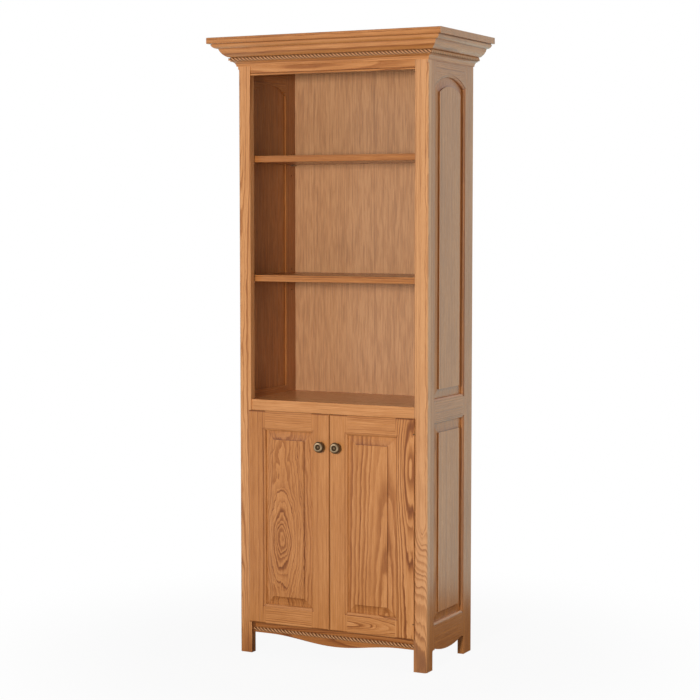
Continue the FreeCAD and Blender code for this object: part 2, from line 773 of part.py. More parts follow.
# Twin magnetic catch under the deck and a strike plate on the back of each door
strike_top = mid_rail_bottom - door_edge_gap - strike_top_gap
strike_left = door_inner + strike_edge_distance
strike_plate = box(strike_left, strike_left + strike_width, door_back, door_back + strike_thickness,
                   strike_top - strike_height, strike_top)
both_sides("strike_plate", strike_plate)
catch_half = catch_width / 2
catch_back = front_y + catch_rear
catch_front = door_back + strike_thickness + strike_gap
parts["magnet_catch"] = box(-catch_half, catch_half, catch_front, catch_back,
                            mid_rail_bottom - catch_height, mid_rail_bottom)
parts["catch_block"] = box(-catch_half, catch_half, leg_back, catch_back, mid_rail_bottom, deck_bottom)

os.makedirs("parts", exist_ok=True)
for name in sorted(parts):
    shape = parts[name]
    shape.exportStep("parts/" + name + ".step")
    print(name, len(shape.Solids), round(shape.Volume), shape.isValid())
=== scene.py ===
# %% [markdown]
# # An oak bookcase with cabinet doors
# This lesson dresses a joiner's model of a tall bookcase. Open shelves stand above two panelled doors,
# a crown and a twisted rope moulding finish the top, and the whole case is oak under a satin lacquer.
# The joiner's model is loaded first and is never moved. We light it and look at it from the place of
# the photograph, give its boards their grain, and model the small twisted and turned pieces afresh.

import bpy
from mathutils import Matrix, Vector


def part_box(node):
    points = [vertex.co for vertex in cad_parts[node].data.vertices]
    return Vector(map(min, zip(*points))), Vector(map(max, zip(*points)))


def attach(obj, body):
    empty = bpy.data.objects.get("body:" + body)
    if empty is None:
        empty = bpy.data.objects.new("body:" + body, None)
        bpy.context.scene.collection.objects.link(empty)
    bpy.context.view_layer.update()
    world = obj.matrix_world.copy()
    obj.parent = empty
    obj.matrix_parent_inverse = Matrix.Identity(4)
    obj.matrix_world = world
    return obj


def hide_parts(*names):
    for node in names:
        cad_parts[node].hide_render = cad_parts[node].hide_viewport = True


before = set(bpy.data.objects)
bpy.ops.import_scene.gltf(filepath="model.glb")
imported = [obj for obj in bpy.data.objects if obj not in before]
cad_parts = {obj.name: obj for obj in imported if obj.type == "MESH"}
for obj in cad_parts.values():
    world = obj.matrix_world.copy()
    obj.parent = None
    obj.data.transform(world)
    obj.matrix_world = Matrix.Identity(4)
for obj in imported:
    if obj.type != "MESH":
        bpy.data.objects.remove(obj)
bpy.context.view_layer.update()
print("pieces loaded:", len(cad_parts))

# %% Modules used by the lesson
import math
import random
import bmesh
import bpy
from mathutils import Matrix, Vector

millimetre = 0.001
scene = bpy.context.scene
scene.view_settings.view_transform = "Standard"
print("view transform:", scene.view_settings.view_transform)

# %% [markdown]
# ## The camera
# The bookcase was photographed from its right, a little above the middle, with a long lens. The place
# below comes from fitting a camera to the corners of the case. Blender aims a camera down its own -Z
# axis, so a turn about X of just under a right angle makes it look ahead and slightly down.

# %% Place the camera
camera_place = (2.4772, -4.8887, 1.3104)
looking_down = math.radians(4.16)
looking_left = math.radians(26.89)
camera_data = bpy.data.cameras.new("camera")
camera_data.sensor_width = 36.0
camera_data.lens = 95.27
camera = bpy.data.objects.new("camera", camera_data)
camera.location = camera_place
camera.rotation_euler = (math.radians(90) - looking_down, 0.0, looking_left)
scene.collection.objects.link(camera)
scene.camera = camera
print("camera distance in metres:", round(Vector(camera_place).length, 2))

# %% [markdown]
# ## Wiring nodes
# Every finish here is a small network of shader nodes. Wired one by one they fill pages, so a few
# helpers keep them short to read. The first adds a node and fills its sockets with numbers, colours or
# links, and the others use it for a step of arithmetic, a measure of vectors, a sum of layers and a
# fade between two levels.

# %% A helper that adds a node
def add_node(tree, kind, sockets=None, **options):
    """Adds a node; a socket takes a number, a vector, a colour of three parts, or a link."""
    node = tree.nodes.new(kind)
    for option, value in options.items():
        setattr(node, option, value)
    for name, value in (sockets or {}).items():
        socket = node.inputs[name]
        if isinstance(value, bpy.types.NodeSocket):
            tree.links.new(value, socket)
        elif socket.type == "RGBA":
            socket.default_value = (*value, 1.0)
        else:
            socket.default_value = value
    return node


print("helper that adds a node:", add_node.__name__)

# %% Helpers that wire numbers
def work_out(tree, operation, *values):
    return add_node(tree, "ShaderNodeMath", dict(enumerate(values)), operation=operation).outputs[0]


def measure(tree, operation, *vectors):
    """A number that comes from vectors, such as a length."""
    measured = add_node(tree, "ShaderNodeVectorMath", dict(enumerate(vectors)), operation=operation)
    return measured.outputs["Value"]


def layered(tree, base, layers):
    """A base with (layer, share) pairs added to it."""
    for layer, share in layers:
        base = work_out(tree, "MULTIPLY_ADD", layer, share, base)
    return base


def fade(tree, value, start, end, low=0.0, high=1.0, curve="LINEAR"):
    """Goes from low, where the value is at start, to high, where it is at end."""
    limits = {"Value": value, "From Min": start, "From Max": end, "To Min": low, "To Max": high}
    return add_node(tree, "ShaderNodeMapRange", limits, interpolation_type=curve).outputs["Result"]


print("number helpers: work_out, measure, layered, fade")

# %% [markdown]
# Colours need a mix of two and a ramp through several. Light Path tells what kind of ray has arrived,
# so that a background can be one thing to the eye and another to the gloss of a surface. Every material
# starts empty.

# %% Helpers that wire colours
def mix_colours(tree, share, first, second):
    return add_node(tree, "ShaderNodeMix", {0: share, 6: first, 7: second}, data_type="RGBA").outputs[2]


def colour_ramp(tree, value, stops):
    """Colours through (place, colour) stops."""
    ramp = add_node(tree, "ShaderNodeValToRGB", {0: value})
    elements = ramp.color_ramp.elements
    while len(elements) < len(stops):
        elements.new(0.5)
    for element, (place, colour) in zip(elements, stops):
        element.position = place
        element.color = (*colour, 1.0)
    return ramp.outputs[0]


def level_ramp(tree, value, stops):
    """Levels through (place, level) stops."""
    return colour_ramp(tree, value, [(place, (level, level, level)) for place, level in stops])


print("colour helpers: mix_colours, colour_ramp, level_ramp")

# %% Helpers for rays and finishes
def seen_rays(tree):
    """Two sockets: 1 for a ray from the camera, and 1 for a ray that a gloss or glass sends on."""
    path = add_node(tree, "ShaderNodeLightPath").outputs
    sent_on = work_out(tree, "MAXIMUM", path["Is Glossy Ray"], path["Is Transmission Ray"])
    return path["Is Camera Ray"], sent_on


def blank_finish(name):
    finish = bpy.data.materials.new(name)
    finish.use_nodes = True
    finish.node_tree.nodes.clear()
    return finish


def show_surface(tree, shader):
    add_node(tree, "ShaderNodeOutputMaterial", {"Surface": shader.outputs[0]})


print("finish helpers: seen_rays, blank_finish, show_surface")

# %% [markdown]
# ## A white studio
# The background is plain white to the eye, yet it lights the wood only softly. A world shader can tell
# these rays apart: it is white where it is seen, and dim where it only adds light. White paper hangs
# behind the bookcase, so a glossy surface finds it when it looks backwards, a little cool low down
# where the paper hangs in the shade. When it looks forwards it finds the dim room, apart from one white
# panel high on the left, which puts the small lights on the metal.

# %% Where the paper, its shade and the panel are
paper_edges = (-0.25, 0.55)
shade_edges = (0.30, 0.08)
panel_direction = Vector((-0.62, -0.68, 0.40)).normalized()
panel_edges = (0.90, 0.94)
world = bpy.data.worlds.new("white_studio")
world.use_nodes = True
surround = world.node_tree
surround.nodes.clear()
outlook = add_node(surround, "ShaderNodeTexCoord").outputs["Generated"]
outlook_axes = add_node(surround, "ShaderNodeSeparateXYZ", {0: outlook}).outputs
paper_share = fade(surround, outlook_axes["Y"], *paper_edges, curve="SMOOTHSTEP")
shade_share = fade(surround, outlook_axes["Z"], *shade_edges)
towards_panel = measure(surround, "DOT_PRODUCT", outlook, panel_direction)
panel_share = fade(surround, towards_panel, *panel_edges)
print("panel half angle in degrees:", round(math.degrees(math.acos(panel_edges[0]))))

# %% What the eye, the gloss and soft light find there
surround_light = 0.30
room_in_gloss = 0.20
white = (1.0, 1.0, 1.0)
cool_white = (0.72, 1.0, 0.96)
to_eye, to_gloss = seen_rays(surround)
in_gloss = work_out(surround, "MULTIPLY_ADD", paper_share, 1.0 - room_in_gloss, room_in_gloss)
in_gloss = work_out(surround, "MAXIMUM", in_gloss, panel_share)
strength = work_out(surround, "MULTIPLY", to_gloss, in_gloss)
strength = work_out(surround, "MAXIMUM", strength, surround_light)
strength = work_out(surround, "MAXIMUM", strength, to_eye)
cool_share = work_out(surround, "MULTIPLY", paper_share, shade_share)
cool_share = work_out(surround, "MULTIPLY", to_gloss, cool_share)
sky_tone = mix_colours(surround, cool_share, white, cool_white)
sky = add_node(surround, "ShaderNodeBackground", {"Color": sky_tone, "Strength": strength})
add_node(surround, "ShaderNodeOutputWorld", {"Surface": sky.outputs[0]})
scene.world = world
print("surround lights at", surround_light, "and shows at 1")

# %% [markdown]
# ## Lamps
# The shelves throw hardly any shadow on the back, and the left inner wall stays dark, so the main lamp
# is a soft panel in front of the case, a little to its right and at the height of its upper half. A
# second panel, straight to the right, stands for the light that pale paper throws on the side of the
# case. Both are hidden from gloss, as a polarising filter would hide them, because their glare would
# wash out the grain.

# %% Two soft panels
aim = Vector((0.0, 0.0, 0.95))


def soft_panel(name, place, width, power, colour):
    lamp_data = bpy.data.lights.new(name, "AREA")
    lamp_data.color = colour
    lamp_data.shape = "DISK"
    lamp_data.size = width
    lamp_data.energy = power
    lamp = bpy.data.objects.new(name, lamp_data)
    lamp.location = place
    lamp.visible_glossy = False
    lamp.rotation_euler = (aim - Vector(place)).to_track_quat("-Z", "Y").to_euler()
    scene.collection.objects.link(lamp)
    print(name, "at", place, "with", power, "W")


soft_panel("main_panel", place=(0.62, -5.2, 1.45), width=0.8, power=208.0, colour=white)
soft_panel("side_panel", place=(4.5, 0.3, 1.6), width=2.2, power=60.0, colour=(1.0, 0.94, 0.80))

# %% [markdown]
# ## The floor
# The floor is a pale sheet that takes the soft shadow of the case. Away from the case it fades to the
# white of the background, so no edge or horizon shows. The fade is a matter of distance from the middle
# of the sheet. In the gloss of the lacquer the floor close to the feet is darker, so the feet keep
# their own warm colour, and the floor in front of the case is duller than the paper behind it.

# %% How white the floor is
eye_fade = (0.45, 1.5)
gloss_fade = (0.95, 1.35)
behind_edges = (-1.0, 0.2)
near_white = 0.93
front_in_gloss = 0.55
floor_finish = blank_finish("pale_floor")
sheet = floor_finish.node_tree
floor_point = add_node(sheet, "ShaderNodeTexCoord").outputs["Object"]
from_middle = measure(sheet, "LENGTH", floor_point)
floor_depth = add_node(sheet, "ShaderNodeSeparateXYZ", {0: floor_point}).outputs["Y"]
white_to_eye = fade(sheet, from_middle, *eye_fade, low=near_white, curve="SMOOTHSTEP")
white_to_gloss = fade(sheet, from_middle, *gloss_fade, curve="SMOOTHSTEP")
duller_front = fade(sheet, floor_depth, *behind_edges, low=front_in_gloss)
white_to_gloss = work_out(sheet, "MULTIPLY", white_to_gloss, duller_front)
print("floor whitens over metres", eye_fade, "and in gloss over", gloss_fade)

# %% The floor's finish
floor_tone = (0.55, 0.55, 0.55)
floor_tone_in_gloss = (0.10, 0.10, 0.10)
to_eye, to_gloss = seen_rays(sheet)
whiteness = work_out(sheet, "MAXIMUM", work_out(sheet, "MULTIPLY", to_eye, white_to_eye),
                     work_out(sheet, "MULTIPLY", to_gloss, white_to_gloss))
paper_tone = mix_colours(sheet, to_gloss, floor_tone, floor_tone_in_gloss)
paper = add_node(sheet, "ShaderNodeBsdfDiffuse", {"Color": paper_tone})
behind = fade(sheet, floor_depth, *behind_edges)
glow_tone = mix_colours(sheet, work_out(sheet, "MULTIPLY", to_gloss, behind), white, cool_white)
glow = add_node(sheet, "ShaderNodeEmission", {"Color": glow_tone, "Strength": 1.0})
show_surface(sheet, add_node(sheet, "ShaderNodeMixShader",
                             {0: whiteness, 1: paper.outputs[0], 2: glow.outputs[0]}))
print("floor tone to the eye and in gloss:", floor_tone[0], floor_tone_in_gloss[0])

# %% The floor's sheet
floor_reach = 9.0


def finished_mesh(name, shaped, finish):
    """Turns a bmesh into an object at the origin with one finish."""
    mesh = bpy.data.meshes.new(name)
    shaped.to_mesh(mesh)
    shaped.free()
    mesh.materials.append(finish)
    made = bpy.data.objects.new(name, mesh)
    scene.collection.objects.link(made)
    return made


floor_shape = bmesh.new()
bmesh.ops.create_grid(floor_shape, x_segments=1, y_segments=1, size=floor_reach)
floor = finished_mesh("floor", floor_shape, floor_finish)
print("floor half width in metres:", floor_reach)

# %% [markdown]
# ## How oak gets its figure
# A board is a flat cut through a tree, so its figure is the tree's rings met by a plane. Where the cut
# runs along the rings they show as straight lines, where it slices past them at a low angle they show
# as nested arches and eyes. A wave texture gives only stripes, so we make the rings themselves, as
# distance from the middle of the tree, and let each board cut them. One node group does it for all
# boards. It works in millimetres: x across the board, y into it, z along the grain.

# %% The oak group: what a board can set
usual_cut = {"ring_width": 3.2, "bow": 1.0e-4, "upper_bow": 1.0, "reach": 350, "wander": 8, "ripple": 3,
             "contrast": 0.8, "tone": 0.24, "greyness_and_sheen": 0.0, "flecks": 0.32, "seed": 1.0}
oak = bpy.data.node_groups.new("oak_figure", "ShaderNodeTree")
oak.interface.new_socket("board", in_out="INPUT", socket_type="NodeSocketVector")
for setting in ("shade_and_stain", *usual_cut):
    oak.interface.new_socket(setting, in_out="INPUT", socket_type="NodeSocketFloat")
oak.interface.new_socket("Color", in_out="OUTPUT", socket_type="NodeSocketColor")
for surface in ("Roughness", "Height"):
    oak.interface.new_socket(surface, in_out="OUTPUT", socket_type="NodeSocketFloat")
board_in = oak.nodes.new("NodeGroupInput").outputs
per_metre = 1 / millimetre
in_millimetres = add_node(oak, "ShaderNodeVectorMath", {0: board_in["board"], 1: (per_metre,) * 3},
                          operation="MULTIPLY").outputs[0]
board_axes = add_node(oak, "ShaderNodeSeparateXYZ", {0: in_millimetres}).outputs
print("settings of an oak board:", ", ".join(usual_cut))

# %% [markdown]
# Wood is never ruled straight. Noise that is drawn out along the grain makes the rings wander and
# ripple, frays them into streaks, and also gives the pores, fibres, flecks and slow clouds of tone that
# lie over them. Each kind has its own fineness across the board and along it.

# %% The oak group: noises that follow the grain
grain = {  # cycles per millimetre across and along, then detail
    "wander": (0.008, 0.0014, 2.0),
    "ripple": (0.040, 0.014, 3.0),
    "streak": (0.16, 0.011, 2.0),
    "ragged": (0.6, 0.03, 2.0),
    "pores": (1.5, 0.045, 1.0),
    "fibres": (0.32, 0.014, 3.0),
    "clouds": (0.016, 0.004, 2.0),
    "flecks": (0.20, 0.017, 2.0),
}


def grain_noise(across, along, detail):
    """Noise around zero, about half a unit each way."""
    drawn_out = add_node(oak, "ShaderNodeVectorMath", {0: in_millimetres, 1: (across, across, along)},
                         operation="MULTIPLY").outputs[0]
    noise = add_node(oak, "ShaderNodeTexNoise",
                     {"Vector": drawn_out, "W": board_in["seed"], "Scale": 1.0, "Detail": detail},
                     noise_dimensions="4D")
    return work_out(oak, "SUBTRACT", noise.outputs[0], 0.5)


noises = {kind: grain_noise(*fineness) for kind, fineness in grain.items()}
print("noises along the grain:", len(noises))

# %% [markdown]
# The middle of the tree is not straight either. It bends away to both sides of the place where it comes
# nearest to the board, as far as the bend reaches, which closes the arches into eyes.

# %% The oak group: rings that bend and waver
streak_size = 2.4
ragged_size = 0.7
above = work_out(oak, "MULTIPLY", work_out(oak, "MAXIMUM", board_axes["Z"], 0.0), board_in["upper_bow"])
along = work_out(oak, "ADD", work_out(oak, "MINIMUM", board_axes["Z"], 0.0), above)
along_squared = work_out(oak, "MULTIPLY", along, along)
reach_squared = work_out(oak, "MULTIPLY", board_in["reach"], board_in["reach"])
levelling = work_out(oak, "ADD", work_out(oak, "DIVIDE", along_squared, reach_squared), 1.0)
bend = work_out(oak, "DIVIDE", along_squared, levelling)
depth = work_out(oak, "SUBTRACT", board_axes["Y"], work_out(oak, "MULTIPLY", bend, board_in["bow"]))
from_pith = add_node(oak, "ShaderNodeCombineXYZ", {"X": board_axes["X"], "Y": depth}).outputs[0]
wavering = layered(oak, measure(oak, "LENGTH", from_pith), [
    (noises["wander"], board_in["wander"]),
    (noises["ripple"], board_in["ripple"]),
    (noises["streak"], streak_size),
    (noises["ragged"], ragged_size),
])
ring_place = work_out(oak, "DIVIDE", wavering, board_in["ring_width"])
print("rings are streaked by", streak_size, "mm")

# %% [markdown]
# Each year starts with a band of open pores, which drinks the stain and turns dark, and ends in dense
# pale wood. Good and poor years differ, so the rings drift in width and each gets its own strength.

# %% The oak group: years and pores
drift_rate = 0.31
drift_size = 2.4
weakest_year = 0.25
year_spread = 0.95
pores_between = 0.22
pores_in_band = 0.8
drift = add_node(oak, "ShaderNodeTexNoise",
                 {"W": work_out(oak, "ADD", ring_place, board_in["seed"]), "Scale": drift_rate},
                 noise_dimensions="1D").outputs[0]
year_place = work_out(oak, "ADD", ring_place, work_out(oak, "MULTIPLY", drift, drift_size))
year_number = work_out(oak, "ADD", work_out(oak, "FLOOR", year_place), board_in["seed"])
year_draw = add_node(oak, "ShaderNodeTexWhiteNoise", {"W": year_number}, noise_dimensions="1D").outputs[0]
year_strength = work_out(oak, "MULTIPLY_ADD", year_draw, year_spread, weakest_year)
open_band = level_ramp(oak, work_out(oak, "FRACT", year_place),
                       [(0.0, 0.8), (0.08, 1.0), (0.26, 0.62), (0.50, 0.16), (0.90, 0.0), (1.0, 0.8)])
early_wood = work_out(oak, "MULTIPLY", open_band, year_strength)
early_wood = work_out(oak, "MULTIPLY", early_wood, board_in["contrast"])
pores = level_ramp(oak, work_out(oak, "ADD", noises["pores"], 0.5), [(0.0, 0.0), (0.53, 0.0), (0.68, 1.0)])
pores = work_out(oak, "MULTIPLY", pores,
                 work_out(oak, "MULTIPLY_ADD", early_wood, pores_in_band, pores_between))
print("a ring's strength lies between", weakest_year, "and", weakest_year + year_spread)

# %% [markdown]
# All layers add up to one darkness, which a ramp turns into the colours of stained oak, and a share of
# a paler, greyer brown is mixed in: on some boards, such as the back, it is the wood's own greyer tone,
# and on the legs and the ropes it is painted sheen. The open bands and pores are also rougher, and a
# little sunken in the lacquer.

# %% The oak group: colour, roughness and height
oak_colours = [(0.0, (0.64, 0.298, 0.114)), (0.25, (0.50, 0.203, 0.061)), (0.55, (0.355, 0.124, 0.030)),
               (1.0, (0.195, 0.054, 0.011))]
# a greyer oak: the wood's own tone on some boards, painted sheen on the legs and ropes
grey_oak_and_sheen = (0.50, 0.30, 0.170)
smooth_lacquer = 0.27
darkness = layered(oak, board_in["tone"], [
    (early_wood, 0.62),
    (pores, 0.25),
    (noises["fibres"], 0.40),
    (noises["clouds"], 0.34),
    (noises["flecks"], board_in["flecks"]),
    # painted shade in corners and near the floor, with the extra stain of end grain
    (board_in["shade_and_stain"], 0.95),
])
# the grey share is the wood's own greyer tone on some boards and painted sheen on the legs and ropes
oak_colour = mix_colours(oak, board_in["greyness_and_sheen"], colour_ramp(oak, darkness, oak_colours), grey_oak_and_sheen)
roughness = layered(oak, smooth_lacquer, [(early_wood, 0.08), (pores, 0.12)])
height = layered(oak, 0.0, [(noises["fibres"], 0.35), (early_wood, -0.30), (pores, -0.65)])
add_node(oak, "NodeGroupOutput", {"Color": oak_colour, "Roughness": roughness, "Height": height})
print("oak group has", len(oak.nodes), "nodes")

# %% [markdown]
# ## How a board lies
# The group needs to know which way each board was cut. A Mapping node turns the place of a point on the
# bookcase into its place in the tree: across, inwards and along. There are five ways of lying here, and
# a small turn written as three rows serves for each.

# %% Five ways of lying
lays = {
    "upright_front": Matrix(((1, 0, 0), (0, 1, 0), (0, 0, 1))),
    "upright_side": Matrix(((0, 1, 0), (-1, 0, 0), (0, 0, 1))),
    "level_front": Matrix(((0, 0, -1), (0, 1, 0), (1, 0, 0))),
    "level_side": Matrix(((0, 0, 1), (-1, 0, 0), (0, -1, 0))),
    "level_top": Matrix(((0, -1, 0), (0, 0, -1), (1, 0, 0))),
}
print("ways of lying:", ", ".join(lays))

# %% [markdown]
# Inner corners are darkened as painted shade: an Ambient Occlusion node finds them by asking how much
# open air a point has around it. End grain drinks more stain, so a face darkens as it turns to face
# along the grain, and the feet are darkened near the floor as painted shade. Over the stain lies the
# lacquer. Most of its gloss follows the grain, and a thin film on top, the Coat of the shader, stays level.

# %% Where painted shade and stain gather
corner_reach = 7 * millimetre
# height below which the feet are darkened as painted shade
foot_shade_top = 110 * millimetre


def painted_shade_and_stain(tree, here, along_grain, end_stain, foot_stain):
    """Painted shade in inner corners and near the floor, and the extra stain that end grain drinks."""
    # painted shade: the less open air around a point, the darker it gets
    open_air = add_node(tree, "ShaderNodeAmbientOcclusion", {"Distance": corner_reach},
                        only_local=True, samples=6)
    corner_shade = work_out(tree, "SUBTRACT", 1.0, open_air.outputs["AO"])
    facing_along = work_out(tree, "ABSOLUTE", measure(tree, "DOT_PRODUCT", here["Normal"], along_grain))
    above_floor = add_node(tree, "ShaderNodeSeparateXYZ", {0: here["Object"]}).outputs["Z"]
    # painted shade near the floor, darker towards the feet
    floor_shade = fade(tree, above_floor, foot_shade_top, 0.0, high=foot_stain)
    return layered(tree, corner_shade, [(facing_along, end_stain), (floor_shade, 1.0)])


# inner corners within this reach are darkened as painted shade
print("stain gathers within", corner_reach, "m of a corner")

# %% One board's material
lacquer_relief = 0.5
lacquer_depth = 0.25 * millimetre
lacquer_layers = {"IOR": 1.55, "Coat Weight": 0.15, "Coat Roughness": 0.28, "Coat IOR": 1.5}


def oak_board(name, lay, pith, end_stain=0.8, foot_stain=0.0, **cut):
    """Oak whose tree middle passes through pith, a point of the bookcase in metres."""
    finish = blank_finish("oak_" + name)
    tree = finish.node_tree
    turn = lays[lay]
    here = add_node(tree, "ShaderNodeTexCoord").outputs
    in_tree = add_node(tree, "ShaderNodeMapping",
                       {"Vector": here["Object"], "Location": -(turn @ Vector(pith)),
                        "Rotation": turn.to_euler()}).outputs[0]
    shade_and_stain = painted_shade_and_stain(tree, here, turn[2], end_stain, foot_stain)
    figure = add_node(tree, "ShaderNodeGroup",
                      {"board": in_tree, "shade_and_stain": shade_and_stain, **usual_cut, **cut}, node_tree=oak).outputs
    relief = add_node(tree, "ShaderNodeBump",
                      {"Height": figure["Height"], "Strength": lacquer_relief,
                       "Distance": lacquer_depth}).outputs[0]
    lacquer = add_node(tree, "ShaderNodeBsdfPrincipled",
                       {"Base Color": figure["Color"], "Roughness": figure["Roughness"], "Normal": relief,
                        **lacquer_layers})
    show_surface(tree, lacquer)
    return finish


print("share of the clear film:", lacquer_layers["Coat Weight"])

# %% [markdown]
# ## Boards from one pile
# No two boards in a piece of furniture come from the same place in the tree. Each board draws its own
# cut from a random stream that starts from its name, so the same board always looks the same. A middle
# well to one side of the board gives straight grain, a middle close behind it gives arches.

# %% Which boards lie which way
both = ("left", "right")


def on_both_sides(*parts):
    return [f"{part}_{side}" for side in both for part in parts]


boards_by_lay = {
    "upright_front": ["back_panel", "catch_block",
                      *on_both_sides("leg", "door_hinge_stile", "door_meeting_stile", "door_panel")],
    "upright_side": on_both_sides("side_front_stile", "side_rear_stile",
                                  "side_upper_panel", "side_lower_panel"),
    "level_front": ["top_rail", "mid_rail", "apron", "crown_front",
                    *on_both_sides("door_top_rail", "door_bottom_rail")],
    "level_side": on_both_sides("side_top_rail", "side_mid_rail", "side_bottom_rail", "crown_side"),
    "level_top": ["cap_board", "sub_top", "deck", "cabinet_floor", "upper_shelf", "lower_shelf",
                  "cabinet_shelf"],
}
print("boards to dress:", sum(len(names) for names in boards_by_lay.values()))

# %% A plain cut for any board
def middle_of(node):
    lowest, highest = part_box(node)
    return (Vector(lowest) + Vector(highest)) / 2


def plain_cut(node, lay):
    """A cut with quiet, nearly straight grain, different for every board."""
    draw = random.Random(node)
    across = draw.uniform(60, 140) * draw.choice((-1, 1))
    inwards = draw.uniform(20, 60)
    along_board = draw.uniform(-250, 250)
    in_tree = Vector((across, inwards, along_board)) * millimetre
    return {"pith": middle_of(node) + lays[lay].transposed() @ in_tree,
            "ring_width": draw.uniform(3.0, 4.6), "bow": draw.uniform(-0.6, 1.0) * 1e-4,
            "wander": draw.uniform(5, 10), "tone": draw.uniform(0.22, 0.28), "seed": draw.uniform(0, 60)}


print("rings of the deck in mm:", round(plain_cut("deck", "level_top")["ring_width"], 1))

# %% [markdown]
# Some boards were chosen for show. The left door panel has an eye below its middle, the right one a
# flame at its outer edge, the right leg arches near the foot, the left leg long spears, and the top
# rail a long streak. For these the cut is given one by one: where the middle of the tree comes nearest
# to the face, how deep it lies, and how strongly it bends. Other boards are only paler or darker than
# their neighbours. Some tones are painted light: the apron is darker as painted shade under the doors,
# the deck paler as painted light on its top, the left side's upper panel darker as painted shade on the
# inner wall, and the legs paler and greyer as painted sheen.

# %% Boards chosen for show
chosen_cuts = {
    "door_panel_left": {"pith": (-0.158, -0.132, 0.350), "bow": 6.5e-3, "reach": 90, "ring_width": 6.0,
                        "wander": 8, "ripple": 20, "contrast": 1.15, "seed": 11.0},
    "door_panel_right": {"pith": (0.180, -0.131, -0.400), "bow": 4.0e-5, "reach": 5000, "ring_width": 13.0,
                         "wander": 16, "ripple": 12, "contrast": 0.85, "tone": 0.18, "seed": 7.0},
    "door_hinge_stile_right": {"pith": (0.262, -0.128, 0.590), "bow": 1.2e-3, "reach": 160,
                               "ring_width": 7.0, "wander": 14, "ripple": 6, "contrast": 1.2,
                               "tone": 0.13},
    "door_bottom_rail_right": {"pith": (0.020, -0.133, 0.122), "bow": 8e-4, "reach": 260, "ring_width": 4.5,
                               "wander": 8, "ripple": 7, "contrast": 1.0, "tone": 0.18},
    # painted sheen: the legs' paler tone and grey share; painted shade: the darkening at the feet
    "leg_right": {"pith": (0.293, -0.118, 0.450), "bow": 2.6e-3, "upper_bow": 0.0, "reach": 190,
                  "ring_width": 5.5, "wander": 8, "ripple": 8, "contrast": 1.05, "tone": 0.02,
                  "greyness_and_sheen": 0.20, "foot_stain": 0.35},
    "leg_left": {"pith": (-0.302, -0.156, 0.800), "bow": 4e-5, "reach": 5000, "ring_width": 4.5,
                 "wander": 12, "ripple": 7, "contrast": 0.9, "tone": 0.04, "greyness_and_sheen": 0.06,
                 "foot_stain": 0.5},
    "top_rail": {"pith": (-0.060, -0.110, 1.742), "bow": 2.5e-4, "reach": 300, "ring_width": 8.0,
                 "wander": 10, "contrast": 1.0, "tone": 0.20},
    # painted shade: the apron's darker tone stands for the shadow of the doors above it
    "apron": {"pith": (0.150, -0.090, 0.060), "bow": 4e-4, "reach": 250, "ring_width": 7.0, "wander": 8,
              "tone": 0.44},
    "back_panel": {"pith": (1.200, 0.190, 0.900), "bow": 0.0, "ring_width": 5.0, "wander": 10, "ripple": 5,
                   "contrast": 0.80, "tone": 0.08, "greyness_and_sheen": 0.50, "flecks": 1.7},
    "crown_front": {"ring_width": 8.0, "wander": 14, "contrast": 1.0, "tone": 0.19},
    "door_meeting_stile_left": {"contrast": 0.5, "tone": 0.20},
    "door_meeting_stile_right": {"contrast": 0.5, "tone": 0.21},
    "door_top_rail_left": {"tone": 0.17},
    "door_top_rail_right": {"tone": 0.16},
    "door_bottom_rail_left": {"tone": 0.15},
    "side_lower_panel_right": {"tone": 0.17},
    # painted shade: a darker tone for the left inner wall
    "side_upper_panel_left": {"tone": 0.32, "flecks": 0.8},
    "mid_rail": {"tone": 0.02},
    "cap_board": {"end_stain": 0.0},
    # painted light: the deck's paler tone brightens its top
    "deck": {"tone": -0.22},
    "upper_shelf": {"tone": 0.40},
    "lower_shelf": {"tone": 0.38},
}
print("boards with a cut or stain of their own:", len(chosen_cuts))

# %% Dress the boards
def dress(node, finish):
    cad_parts[node].material_slots[0].material = finish


for lay, names in boards_by_lay.items():
    for name in names:
        cut = plain_cut(name, lay)
        cut.update(chosen_cuts.get(name, {}))
        dress(name, oak_board(name, lay, **cut))
    print(lay, "boards dressed:", len(names))

# %% [markdown]
# ## Metal and plastic
# Nails, strike plates and knob screws are plated steel, the hinges are bronzed dark so that they hide
# beside the oak, the shelf supports are pale zinc, and the door catch is brown plastic. Each is two
# close colours mixed by a fine noise, which also makes the surface a little uneven in gloss and height.

# %% A speckled finish
speckle_relief = 0.3


def speckled(name, colours, speckle_size, roughness_range, metallic, relief_depth):
    """A finish that mixes two colours by a fine noise, with roughness and relief from the same noise."""
    finish = blank_finish(name)
    tree = finish.node_tree
    place = add_node(tree, "ShaderNodeTexCoord").outputs["Object"]
    speckle = add_node(tree, "ShaderNodeTexNoise",
                       {"Vector": place, "Scale": 1.0 / speckle_size, "Detail": 4.0}).outputs[0]
    smoothest, roughest = roughness_range
    relief = add_node(tree, "ShaderNodeBump",
                      {"Height": speckle, "Strength": speckle_relief, "Distance": relief_depth})
    surface = add_node(tree, "ShaderNodeBsdfPrincipled",
                       {"Base Color": mix_colours(tree, speckle, *colours), "Metallic": metallic,
                        "Roughness": fade(tree, speckle, 0.0, 1.0, smoothest, roughest),
                        "Normal": relief.outputs[0]})
    show_surface(tree, surface)
    return finish


